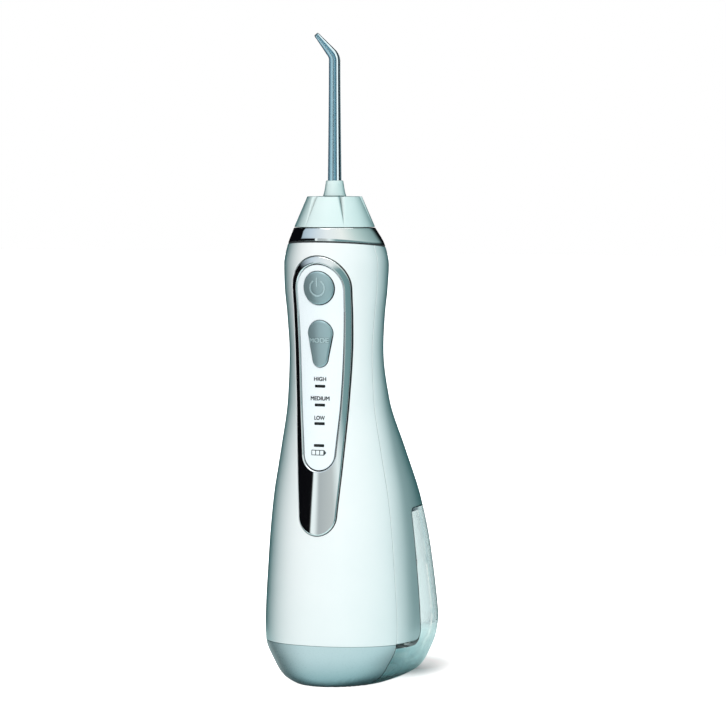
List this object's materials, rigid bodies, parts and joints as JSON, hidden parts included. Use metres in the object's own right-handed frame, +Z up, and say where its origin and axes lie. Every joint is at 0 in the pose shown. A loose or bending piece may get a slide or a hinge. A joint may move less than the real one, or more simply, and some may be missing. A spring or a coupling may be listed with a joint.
{
  "type": "water flosser",
  "caption": "Cordless water flosser: upright waisted handle with control panel, turning nozzle knob, bent jet tip and a clear slide-off water tank.",
  "frame": {"origin": "on the resting plane, below the axis of the rotation knob", "axes": "+Z up along the knob axis, -Y to the control panel, +Y to the water tank, +X to the right seen from the front"},
  "size_m": [0.0704, 0.1005, 0.2963],
  "materials": {
    "white_shell": "pearl white gloss moulding",
    "mint_satin": "satin pale mint moulding",
    "blue_grey_gloss": "gloss blue-grey moulding",
    "chrome_trim": "bright plated trim",
    "button_silver": "satin silver-blue painted key",
    "clear_tip": "clear moulded plastic",
    "clear_tank": "clear tinted moulded plastic",
    "light_window": "dark light window",
    "frame_plastic": "dark glass-filled moulding",
    "steel": "turned steel",
    "brass": "turned brass",
    "nylon": "natural nylon",
    "rubber": "black rubber",
    "silicone": "translucent silicone",
    "board": "green solder mask",
    "cell_wrap": "printed cell wrap",
    "copper": "varnished copper winding",
    "lead_red": "red wire insulation"
  },
  "bodies": {
    "handle": {"front_housing": "white_shell", "rear_housing": "white_shell", "base_cap": "blue_grey_gloss", "neck_ring": "chrome_trim", "panel_bezel": "chrome_trim", "control_panel": "white_shell", "high_light": "light_window", "medium_light": "light_window", "low_light": "light_window", "charge_light": "light_window", "release_spring": "steel", "charge_port": "frame_plastic", "charge_contact_left": "brass", "charge_contact_right": "brass", "chassis": "frame_plastic", "gear_axle": "steel", "motor_can": "steel", "motor_end_cap": "frame_plastic", "pump_cylinder": "frame_plastic", "inlet_hose": "silicone", "outlet_manifold": "frame_plastic", "battery_cell_left": "cell_wrap", "battery_cell_right": "cell_wrap", "battery_holder": "frame_plastic", "circuit_board": "board", "power_switch": "frame_plastic", "mode_switch": "frame_plastic", "battery_lead_positive": "lead_red", "battery_lead_negative": "rubber", "housing_screw_lower_left": "steel", "housing_screw_lower_right": "steel", "housing_screw_upper_left": "steel", "housing_screw_upper_right": "steel"},
    "power_button": {"power_button": "button_silver"},
    "mode_button": {"mode_button": "button_silver"},
    "knob": {"rotation_knob": "mint_satin", "nozzle_collar": "mint_satin"},
    "tip": {"jet_tip": "clear_tip", "tip_o_ring": "rubber"},
    "release": {"release_button": "button_silver", "tip_latch": "nylon"},
    "tank": {"reservoir": "clear_tank", "suction_tube": "clear_tank", "suction_strainer": "nylon", "port_seal": "rubber", "door_hinge_pin": "steel"},
    "door": {"fill_door": "clear_tank", "door_seal": "silicone"},
    "rotor": {"motor_shaft": "steel", "motor_armature": "copper", "pinion_gear": "brass"},
    "crown": {"crown_gear": "nylon"},
    "conrod": {"connecting_rod": "steel"},
    "piston": {"piston": "nylon", "piston_seal": "rubber"},
    "inlet_valve": {"inlet_valve": "rubber"},
    "outlet_valve": {"outlet_valve": "rubber"}
  },
  "joints": [
    {"name": "power_press", "type": "slide", "parent": "handle", "child": "power_button", "axis": [0, 1, 0], "range_m": [0, 0.0008]},
    {"name": "mode_press", "type": "slide", "parent": "handle", "child": "mode_button", "axis": [0, 1, 0], "range_m": [0, 0.0008]},
    {"name": "nozzle_turn", "type": "hinge", "parent": "handle", "child": "knob", "pos_m": [0, 0, 0.21], "axis": [0, 0, 1], "continuous": true},
    {"name": "tip_pull", "type": "slide", "parent": "knob", "child": "tip", "axis": [0, 0, 1], "range_m": [0, 0.035]},
    {"name": "release_press", "type": "slide", "parent": "handle", "child": "release", "axis": [0, -1, 0], "range_m": [0, 0.002], "deforming": ["release_spring"]},
    {"name": "tank_slide", "type": "slide", "parent": "handle", "child": "tank", "axis": [0, 1, 0], "range_m": [0, 0.11]},
    {"name": "door_swing", "type": "hinge", "parent": "tank", "child": "door", "pos_m": [0, 0.07153, 0.04896], "axis": [-1, 0, 0], "range_deg": [0, 110]},
    {"name": "rotor_spin", "type": "hinge", "parent": "handle", "child": "rotor", "pos_m": [0, 0.008, 0.11], "axis": [0, 0, 1], "continuous": true},
    {"name": "crown_turn", "type": "hinge", "parent": "handle", "child": "crown", "pos_m": [0, 0, 0.15], "axis": [0, 1, 0], "continuous": true},
    {"name": "conrod_pivot", "type": "hinge", "parent": "crown", "child": "conrod", "pos_m": [0, 0, 0.1518], "axis": [0, 1, 0], "continuous": true},
    {"name": "piston_stroke", "type": "slide", "parent": "handle", "child": "piston", "axis": [0, 0, 1], "range_m": [-0.0036, 0]},
    {"name": "inlet_valve_lift", "type": "slide", "parent": "handle", "child": "inlet_valve", "axis": [-1, 0, 0], "range_m": [0, 0.0008]},
    {"name": "outlet_valve_lift", "type": "slide", "parent": "handle", "child": "outlet_valve", "axis": [0, 0, 1], "range_m": [0, 0.0008]}
  ],
  "couplings": [
    {"joint": "crown_turn", "follows": "rotor_spin", "ratio": -0.28571},
    {"joint": "conrod_pivot", "follows": "rotor_spin", "ratio": 0.28571}
  ]
}
